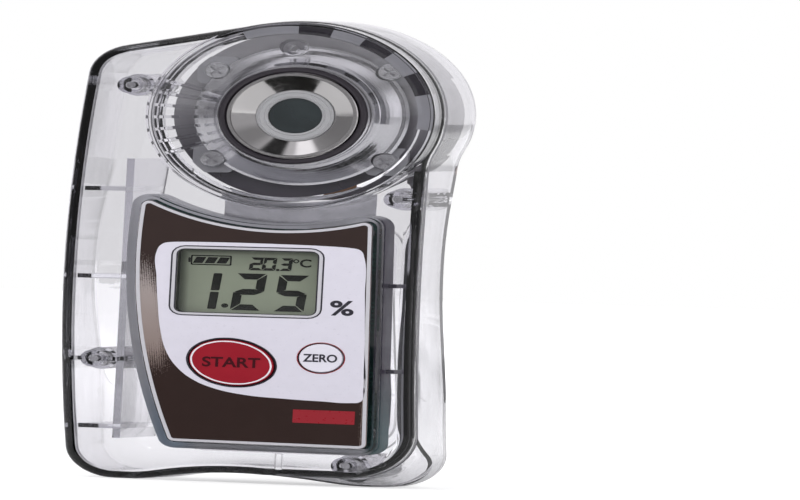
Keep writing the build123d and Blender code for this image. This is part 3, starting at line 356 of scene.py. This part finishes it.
def cell_material():
    """Printed cell sleeve: two plain bands and bare metal at both ends."""
    shader = finish("cell_sleeve", (0.03, 0.035, 0.045), 0.3, vary=0.1, grain=3000.0, depth=0.004)
    dark = shader.surface.inputs["Base Color"].links[0].from_socket
    x, y, z = shader.axes()
    low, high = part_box("battery_left")
    upper = shader.math("GREATER_THAN", z, 0.58 * high[2] + 0.42 * low[2])
    tone = shader.mix(upper, dark, (0.42, 0.44, 0.46))
    ends = shader.math("MAXIMUM", shader.math("GREATER_THAN", z, high[2] - 2.6 * MM),
                       shader.math("LESS_THAN", z, low[2] + 0.9 * MM))
    shader.put(shader.surface, "Base Color", shader.mix(ends, tone, (0.60, 0.60, 0.61)))
    shader.put(shader.surface, "Metallic", ends)
    return shader


def striped_material():
    """Elastic connector: thin dark and light layers."""
    shader = finish("elastic_strip", (0.16, 0.16, 0.17), 0.7, grain=3000.0)
    base = shader.surface.inputs["Base Color"].links[0].from_socket
    x, y, z = shader.axes()
    stripes = shader.math("SINE", shader.math("MULTIPLY", x, 18000.0))
    layers = shader.mix(shader.ramp(stripes, -0.3, 0.3), base, (0.5, 0.3, 0.3))
    shader.put(shader.surface, "Base Color", layers)
    return shader


def knurled_material():
    """Brass with upright knurling."""
    shader = finish("insert_brass", (0.72, 0.50, 0.20), 0.28, vary=0.1, grain=3000.0, Metallic=1.0)
    x, y, z = shader.axes()
    teeth = shader.math("SINE", shader.math("MULTIPLY", shader.math("ADD", x, z), 9000.0))
    shader.bump(teeth, 0.08 * MM)
    return shader


def make_materials():
    """One material for each material slot of the record."""
    well = middle("sample_stage")
    coin = middle("coin_screw")
    made = {
        "case_clear": clear_plastic("case_clear", (0.93, 0.926, 0.94), 0.02, 150.0, SEAM_Y),
        "pane_clear": clear_plastic("pane_clear", (0.97, 0.98, 0.97), 0.01),
        "lens_clear": clear_plastic("lens_clear", (0.97, 0.99, 0.99), 0.01),
        "gasket_dark": finish("gasket_dark", (0.24, 0.235, 0.255), 0.5, grain=6000.0,
                              Specular_IOR_Level=0.2),
        "frosted_grey": finish("frosted_grey", (0.46, 0.46, 0.50), 0.45, grain=5000.0,
                               Transmission_Weight=0.35),
        "dark_block": finish("dark_block", (0.018, 0.015, 0.022), 0.4, wear=0.4, Specular_IOR_Level=0.15),
        "label_print": label_material(),
        "display_glass": display_material(),
        "frame_black": frame_material(),
        "elastic_strip": striped_material(),
        "board_green": board_material(),
        "chip_black": finish("chip_black", (0.02, 0.02, 0.022), 0.5, grain=7000.0),
        "screw_steel": finish("screw_steel", (0.56, 0.56, 0.58), 0.25, patch=900.0, wear=0.5, Metallic=1.0),
        "dome_steel": finish("dome_steel", (0.66, 0.66, 0.66), 0.2, patch=900.0, Metallic=1.0),
        "mat_grey": finish("mat_grey", (0.27, 0.27, 0.30), 0.6),
        "key_red": finish("key_red", (0.30, 0.008, 0.020), 0.34, vary=0.05, patch=160.0, grain=6000.0,
                          depth=0.001, Specular_IOR_Level=0.3),
        "key_white": finish("key_white", (0.74, 0.72, 0.80), 0.3, vary=0.015, grain=6000.0, depth=0.001,
                            Specular_IOR_Level=0.3),
        "stage_steel": turned_metal("stage_steel", (0.60, 0.585, 0.585), 0.10, well, 4200.0, 0.0015),
        "collar_silver": turned_metal("collar_silver", (0.86, 0.86, 0.88), 0.14, well, 2600.0, 0.006),
        "coin_steel": turned_metal("coin_steel", (0.60, 0.60, 0.61), 0.22, coin, 5200.0, 0.006),
        "oring_dark": finish("oring_dark", (0.022, 0.018, 0.024), 0.32, grain=6000.0),
        "ring_grey": finish("ring_grey", (0.36, 0.36, 0.375), 0.32, vary=0.02, patch=600.0, grain=5000.0),
        "prism_glass": finish("prism_glass", (0.018, 0.024, 0.026), 0.06, vary=0.2, patch=180.0,
                              grain=2000.0, depth=0.0008, Coat_Weight=0.6, Coat_Roughness=0.03),
        "bracket_grey": finish("bracket_grey", (0.40, 0.40, 0.43), 0.42, grain=4500.0, wear=0.4,
                               Transmission_Weight=0.15),
        "block_dark": block_material(),
        "lamp_amber": clear_plastic("lamp_amber", (0.95, 0.62, 0.2), 0.05),
        "sensor_dark": finish("sensor_dark", (0.02, 0.022, 0.028), 0.15, patch=900.0, Coat_Weight=0.5),
        "flex_amber": finish("flex_amber", (0.36, 0.14, 0.03), 0.25, patch=400.0, grain=2500.0,
                             Coat_Weight=0.4),
        "shield_bright": finish("shield_bright", (0.72, 0.72, 0.76), 0.2, patch=300.0, Metallic=1.0),
        "tray_grey": finish("tray_grey", (0.24, 0.24, 0.27), 0.5, wear=0.4),
        "cell_sleeve": cell_material(),
        "contact_nickel": finish("contact_nickel", (0.68, 0.66, 0.62), 0.2, patch=700.0, Metallic=1.0),
        "insert_brass": knurled_material(),
        "seal_grey": finish("seal_grey", (0.10, 0.10, 0.115), 0.6),
    }
    return {slot: shader.material for slot, shader in made.items()}


def dress_frame(materials):
    """Give each CAD node its material."""
    for part in frame["record"]["subparts"]:
        for slot in frame["nodes"][part["node"]].material_slots:
            slot.material = materials[part["material_slot"]]


def ink(name, colour, rough=0.3, **sockets):
    """Printing ink: nearly even, with a fine screen grain."""
    shader = finish(name, colour, rough, vary=0.012, patch=500.0, grain=9000.0, depth=0.0006, **sockets)
    return shader.material


def smooth_loop(spline, points, round_at):
    """Closed outline through points in millimetres, each smooth or sharp."""
    spline.bezier_points.add(len(points) - 1)
    for point, (x, z), smooth in zip(spline.bezier_points, points, round_at):
        point.co = (x * MM, z * MM, 0)
        point.handle_left_type = point.handle_right_type = "AUTO" if smooth else "VECTOR"
    spline.use_cyclic_u = True


def flat_piece(name, loops, depth, body, material):
    """Thin print from outlines seen from the front, on a body that carries it."""
    curve = bpy.data.curves.new(name, "CURVE")
    curve.dimensions = "2D"
    curve.fill_mode = "BOTH"
    curve.resolution_u = 24
    curve.extrude = PRINT_THICK / 2
    for points in loops:
        spline = curve.splines.new("BEZIER")
        smooth_loop(spline, [p[:2] for p in points], [len(p) > 2 for p in points])
    piece = bpy.data.objects.new(name, curve)
    piece.rotation_euler = (math.pi / 2, 0, 0)
    piece.location = (0, depth, 0)
    bpy.context.scene.collection.objects.link(piece)
    curve.materials.append(material)
    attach(piece, body)
    return piece


def oval(x, z, long, short, tilt=0.0, count=16):
    """Outline of an oval, as smooth points."""
    turn = math.radians(tilt)
    points = []
    for step in range(count):
        angle = 2 * math.pi * step / count
        a, b = long / 2 * math.cos(angle), short / 2 * math.sin(angle)
        across = a * math.cos(turn) - b * math.sin(turn)
        up = a * math.sin(turn) + b * math.cos(turn)
        points.append((x + across, z + up, 1))
    return points


def soft_box(x, z, width, height, radius, lean=0.0):
    """Outline of a rectangle with round corners, leaning to the right by a share of its height."""
    points = []
    for cx, cz, start in ((1, 1, 0), (-1, 1, 90), (-1, -1, 180), (1, -1, 270)):
        for part in range(5):
            angle = math.radians(start + 22.5 * part)
            px = cx * (width / 2 - radius) + radius * math.cos(angle)
            pz = cz * (height / 2 - radius) + radius * math.sin(angle)
            points.append((x + px + lean * pz, z + pz))
    return points


def words(name, text, x, z, height, width, depth, body, material):
    """Plain lettering, centred, scaled to a width."""
    data = bpy.data.curves.new(name, "FONT")
    data.body = text
    data.align_x = "CENTER"
    data.align_y = "CENTER"
    data.size = height * MM / 0.70
    data.offset = height * MM * 0.035
    data.extrude = PRINT_THICK / 2
    data.materials.append(material)
    piece = bpy.data.objects.new(name, data)
    piece.rotation_euler = (math.pi / 2, 0, 0)
    bpy.context.scene.collection.objects.link(piece)
    bpy.context.view_layer.update()
    piece.scale = (width * MM / piece.dimensions.x, 1, 1)
    piece.location = (x * MM, depth, z * MM)
    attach(piece, body)
    return piece


def digit(x, z, width, height, bars, bold):
    """Seven-bar digit as pointed bars. Bars are named a to g, from the top clockwise, g in the middle."""
    w, h, t = width / 2, height / 2, bold
    gap = t * 0.12
    loops = []
    for bar in bars:
        if bar in "ad":
            side = 1 if bar == "a" else -1
            edge = [(-w + gap, h), (w - gap, h), (w - t, h - t), (-w + t, h - t)]
            loop = [(px, side * pz) for px, pz in edge]
        elif bar == "g":
            loop = [(-w + gap, 0), (-w + t, t / 2), (w - t, t / 2),
                    (w - gap, 0), (w - t, -t / 2), (-w + t, -t / 2)]
        else:
            side = 1 if bar in "bc" else -1
            up = 1 if bar in "bf" else -1
            edge = [(w, h - gap), (w, gap), (w - t / 2, gap), (w - t, t / 2 + gap), (w - t, h - t - gap)]
            loop = [(side * px, up * pz) for px, pz in edge]
        loops.append([(x + px + DIGIT_LEAN * pz, z + pz) for px, pz in loop])
    return loops


def print_display():
    """Segments shown on the display: a battery sign, a temperature and a reading."""
    dark = ink("segment_ink", (0.003, 0.005, 0.002), 0.5, Specular_IOR_Level=0.0)
    depth = PANEL_Y - SKIN
    loops = [soft_box(-4.5, 47.3, 1.35, 4.05, 0.2, DIGIT_LEAN),
             soft_box(-4.9, 42.9, 1.35, 4.05, 0.2, DIGIT_LEAN)]
    loops += digit(0.5, 45.1, 4.7, 8.7, "abged", 1.4)
    loops += digit(7.05, 45.0, 4.7, 8.6, "afgcd", 1.4)
    loops.append(oval(-3.05, 41.75, 1.1, 1.0, 0, 8))
    loops += digit(1.5, 51.75, 2.1, 3.05, "abged", 0.58)
    loops += digit(3.45, 51.75, 2.1, 3.05, "abcdef", 0.58)
    loops += digit(6.0, 51.75, 1.85, 3.0, "abgcd", 0.58)
    loops.append(oval(4.75, 50.45, 0.55, 0.55, 0, 8))
    flat_piece("display_segments", loops, depth, "case", dark)
    ring = [oval(7.5, 52.6, 0.95, 0.95), oval(7.5, 52.6, 0.5, 0.5)]
    flat_piece("display_degree", ring, depth, "case", dark)
    words("display_letter", "C", 8.95, 52.05, 1.8, 1.75, depth, "case", dark)
    sign = [soft_box(-5.5, 52.35, 6.3, 2.35, 0.25), soft_box(-5.5, 52.35, 5.8, 1.85, 0.15)]
    sign.append(soft_box(-8.85, 52.35, 0.35, 1.1, 0.1))
    for step in range(3):
        sign.append(soft_box(-7.3 + 1.82 * step, 52.35, 1.5, 1.45, 0.08, 0.4))
    flat_piece("display_battery_sign", sign, depth, "case", dark)


def print_label():
    """Pale panel, lines and signs printed on the label. A third number marks a smooth point."""
    pale = ink("panel_ink", (0.69, 0.668, 0.755), 0.3)
    silver = ink("silver_ink", (0.55, 0.54, 0.58), 0.3)
    dark = ink("line_ink", (0.022, 0.020, 0.030), 0.3)
    red = ink("red_ink", (0.30, 0.018, 0.028), 0.3)
    front = LABEL_Y - SKIN
    panel = [
        (-11.4, 56.45, 1), (-12.6, 56.0, 1), (-13.45, 54.2, 1), (-13.25, 48.0, 1), (-12.85, 42.0, 1),
        (-12.2, 35.5, 1), (-11.1, 30.5, 1), (-9.4, 27.0, 1), (-6.9, 24.2, 1), (-3.7, 22.3, 1),
        (1.0, 20.95, 1), (7.4, 20.3, 1), (13.0, 20.0, 1), (17.4, 19.85, 1), (18.9, 20.2, 1),
        (19.4, 21.6, 1), (19.1, 33.0, 1), (18.7, 45.0, 1), (18.3, 53.9, 1), (17.7, 55.5, 1),
        (16.2, 56.05, 1),
    ]
    hole = soft_box(*DISPLAY_MIDDLE, 21.5, 14.8, 1.1)
    zero = middle("zero_key") / MM
    start_hole = oval(*START_MIDDLE, 13.7, 10.9, START_TILT)
    zero_hole = oval(zero.x, zero.z, 7.1, 7.1)
    flat_piece("label_panel", [panel, hole, start_hole, zero_hole], front, "case", pale)
    frame_line = [soft_box(*DISPLAY_MIDDLE, 23.5, 16.6, 2.2), soft_box(*DISPLAY_MIDDLE, 23.0, 16.1, 1.95)]
    flat_piece("display_line", frame_line, front - SKIN, "case", dark)
    ring = [soft_box(*DISPLAY_MIDDLE, 22.9, 16.0, 1.9), soft_box(*DISPLAY_MIDDLE, 21.9, 15.1, 1.3)]
    flat_piece("display_ring", ring, front - SKIN, "case", silver)
    inner = [soft_box(*DISPLAY_MIDDLE, 21.9, 15.1, 1.3), soft_box(*DISPLAY_MIDDLE, 21.5, 14.8, 1.1)]
    flat_piece("display_inner_line", inner, front - 1.5 * SKIN, "case", dark)
    flat_piece("start_line", [oval(*START_MIDDLE, 14.2, 11.4, START_TILT), start_hole], front - SKIN,
               "case", dark)
    flat_piece("zero_line", [oval(zero.x, zero.z, 7.35, 7.35), zero_hole], front - SKIN,
               "case", red)
    flat_piece("red_block", [soft_box(13.5, 16.35, 9.4, 3.1, 0.12)], front, "case", red)
    words("percent_sign", "%", 15.35, 41.75, 3.3, 3.6, front - SKIN, "case", dark)
    border = label_border()
    flat_piece("label_border", border, front, "case", silver)


def label_border():
    """Thin pale line along the edge of the label, from the label's own outline."""
    mesh = frame["nodes"]["label_plate"].data
    edges = {}
    for face in mesh.polygons:
        if face.normal.y < -0.9:
            for a, b in face.edge_keys:
                edges[(a, b)] = edges.get((a, b), 0) + 1
    links = {}
    for (a, b), count in edges.items():
        if count == 1:
            links.setdefault(a, []).append(b)
            links.setdefault(b, []).append(a)
    start = min(links, key=lambda v: mesh.vertices[v].co.x)
    loop, seen, here = [start], {start}, start
    while True:
        ahead = [v for v in links[here] if v not in seen]
        if not ahead:
            break
        here = ahead[0]
        seen.add(here)
        loop.append(here)
    points = [Vector((mesh.vertices[v].co.x, mesh.vertices[v].co.z)) / MM for v in loop]
    return [inset(points, 0.04), inset(points, 0.62)]


def inset(points, amount):
    """Closed outline moved inwards."""
    area = sum(a.x * b.y - b.x * a.y for a, b in zip(points, points[1:] + points[:1]))
    side = 1 if area > 0 else -1
    moved = []
    for before, here, after in zip(points[-1:] + points[:-1], points, points[1:] + points[:1]):
        way = (after - before).normalized()
        moved.append((here.x - way.y * amount * side, here.y + way.x * amount * side))
    return moved


def print_keys():
    """Rings and words on the two keys."""
    white = ink("key_ring_ink", (0.80, 0.78, 0.84), 0.3)
    dark = ink("key_word_ink", (0.050, 0.006, 0.010), 0.35, Specular_IOR_Level=0.2)
    navy = ink("zero_word_ink", (0.022, 0.020, 0.032), 0.35)
    start_ring = [oval(*START_MIDDLE, 12.75, 9.95, START_TILT), oval(*START_MIDDLE, 12.2, 9.4, START_TILT)]
    flat_piece("start_ring", start_ring, START_Y - SKIN, "start_button", white)
    x, z = START_MIDDLE
    words("start_word", "START", x, z - 0.05, 2.25, 8.9, START_Y - SKIN, "start_button", dark)
    zero = middle("zero_key") / MM
    words("zero_word", "ZERO", zero.x, zero.z - 0.1, 1.75, 5.2, ZERO_Y - SKIN,
          "zero_button", navy)


def path_share(tree, name):
    """Is 1 once a ray has bounced in the named way, else 0."""
    path = tree.nodes.new("ShaderNodeLightPath")
    node = tree.nodes.new("ShaderNodeMath")
    node.operation = "MINIMUM"
    tree.links.new(path.outputs[name], node.inputs[0])
    node.inputs[1].default_value = 1.0
    return node.outputs[0]


# Zones of the studio that polished surfaces reflect: direction, inner and outer angle, level
ROOM_LEVEL = 0.30
ROOM_ZONES = [
    ((0.0, 1.0, 0.1), 50, 80, 1.0),
    ((0.0, 0.1, 1.0), 25, 55, 0.8),
    ((0.96, -0.25, 0.05), 12, 32, 1.0),
    ((0.78, -0.62, 0.05), 8, 26, 0.48),
    ((-0.98, -0.20, 0.10), 12, 38, 0.24),
    ((-0.46, -0.37, 0.81), 6, 12, 1.4),
    ((0.055, -0.49, 0.87), 8, 14, 0.03),
]


def room_level(tree):
    """Brightness of the studio in reflections, by direction."""
    way = tree.nodes.new("ShaderNodeTexCoord").outputs["Generated"]
    level = None
    for direction, inner, outer, value in ROOM_ZONES:
        dot = tree.nodes.new("ShaderNodeVectorMath")
        dot.operation = "DOT_PRODUCT"
        tree.links.new(way, dot.inputs[0])
        dot.inputs[1].default_value = Vector(direction).normalized()
        zone = tree.nodes.new("ShaderNodeMapRange")
        zone.interpolation_type = "SMOOTHSTEP"
        tree.links.new(dot.outputs["Value"], zone.inputs["Value"])
        zone.inputs["From Min"].default_value = math.cos(math.radians(outer))
        zone.inputs["From Max"].default_value = math.cos(math.radians(inner))
        mix = tree.nodes.new("ShaderNodeMix")
        tree.links.new(zone.outputs[0], mix.inputs[0])
        if level:
            tree.links.new(level, mix.inputs[2])
        else:
            mix.inputs[2].default_value = ROOM_LEVEL
        mix.inputs[3].default_value = value
        level = mix.outputs[0]
    return level


def make_world():
    """White to look at, with zones in reflections, and softer as a source of light."""
    world = bpy.data.worlds.new("studio")
    bpy.context.scene.world = world
    world.use_nodes = True
    tree = world.node_tree
    tree.nodes.clear()
    output = tree.nodes.new("ShaderNodeOutputWorld")
    lit, seen, room = (tree.nodes.new("ShaderNodeBackground") for _ in range(3))
    lit.inputs["Color"].default_value = (0.98, 0.98, 1.0, 1)
    lit.inputs["Strength"].default_value = 0.5
    seen.inputs["Color"].default_value = (1, 1, 1, 1)
    room.inputs["Color"].default_value = (0.98, 0.97, 1.0, 1)
    tree.links.new(room_level(tree), room.inputs["Strength"])
    look = tree.nodes.new("ShaderNodeMixShader")
    tree.links.new(path_share(tree, "Glossy Depth"), look.inputs[0])
    tree.links.new(seen.outputs[0], look.inputs[1])
    tree.links.new(room.outputs[0], look.inputs[2])
    light = tree.nodes.new("ShaderNodeMixShader")
    tree.links.new(path_share(tree, "Diffuse Depth"), light.inputs[0])
    tree.links.new(look.outputs[0], light.inputs[1])
    tree.links.new(lit.outputs[0], light.inputs[2])
    tree.links.new(light.outputs[0], output.inputs["Surface"])


def make_floor():
    """Wide pale floor, white to look at, that keeps a faint shadow."""
    bpy.ops.mesh.primitive_plane_add(size=4, location=(0, 0, 0))
    floor = bpy.context.active_object
    floor.name = "floor"
    shader = Shader("floor_white")
    shader.set(Base_Color=(0.8, 0.8, 0.8), Roughness=0.9)
    place = shader.node("ShaderNodeVectorMath", {"operation": "LENGTH"}, _0=shader.coordinates)
    level = shader.ramp(place.outputs["Value"], 0.25, 0.9, 0.45, 0.9)
    glow = shader.node("ShaderNodeEmission", Color=(1, 1, 1), Strength=level)
    both = shader.node("ShaderNodeAddShader")
    shader.link(shader.surface.outputs[0], both.inputs[0])
    shader.link(glow.outputs[0], both.inputs[1])
    shares = [path_share(shader.tree, name) for name in ("Diffuse Depth", "Glossy Depth")]
    bounced = shader.math("MAXIMUM", *shares)
    mix = shader.node("ShaderNodeMixShader")
    shader.link(bounced, mix.inputs[0])
    shader.link(both.outputs[0], mix.inputs[1])
    shader.link(shader.surface.outputs[0], mix.inputs[2])
    shader.link(mix.outputs[0], shader.output.inputs["Surface"])
    floor.data.materials.append(shader.material)


def lamp(name, place, aim, size, power):
    """Soft rectangular lamp."""
    data = bpy.data.lights.new(name, "AREA")
    data.shape = "RECTANGLE"
    data.size, data.size_y = size
    data.energy = power
    item = bpy.data.objects.new(name, data)
    item.location = place
    item.rotation_euler = (Vector(aim) - Vector(place)).to_track_quat("-Z", "Y").to_euler()
    item.visible_glossy = False
    item.visible_transmission = False
    bpy.context.scene.collection.objects.link(item)


def dark_card(name, place, aim, size):
    """Dark card that only reflections see, as in a product studio."""
    bpy.ops.mesh.primitive_plane_add(size=1, location=place)
    card = bpy.context.active_object
    card.name = name
    card.scale = (size[0], size[1], 1)
    card.rotation_euler = (Vector(aim) - Vector(place)).to_track_quat("Z", "Y").to_euler()
    shader = Shader(name + "_black")
    shader.set(Base_Color=(0.02, 0.02, 0.018), Roughness=1.0, Specular_IOR_Level=0.0)
    card.data.materials.append(shader.material)
    card.visible_camera = False
    card.visible_diffuse = False
    card.visible_transmission = False
    card.visible_shadow = False


def make_lights():
    """Large soft lamps at the upper left, the right and the back, and one dark card."""
    lamp("key_light", (-0.55, -0.85, 0.85), (0, 0, 0.06), (1.0, 1.0), 7.5)
    lamp("fill_light", (0.8, -0.7, 0.4), (0, 0, 0.06), (0.7, 0.9), 3.5)
    lamp("back_light", (0.1, 0.9, 0.6), (0, 0, 0.06), (0.9, 0.6), 4.0)
    dark_card("card_low", (-0.017, -0.068, 0.012), WELL, (0.085, 0.06))


make_camera()
dress_frame(make_materials())
print_label()
print_display()
print_keys()
make_world()
make_floor()
make_lights()
bpy.context.scene.view_settings.view_transform = "Standard"
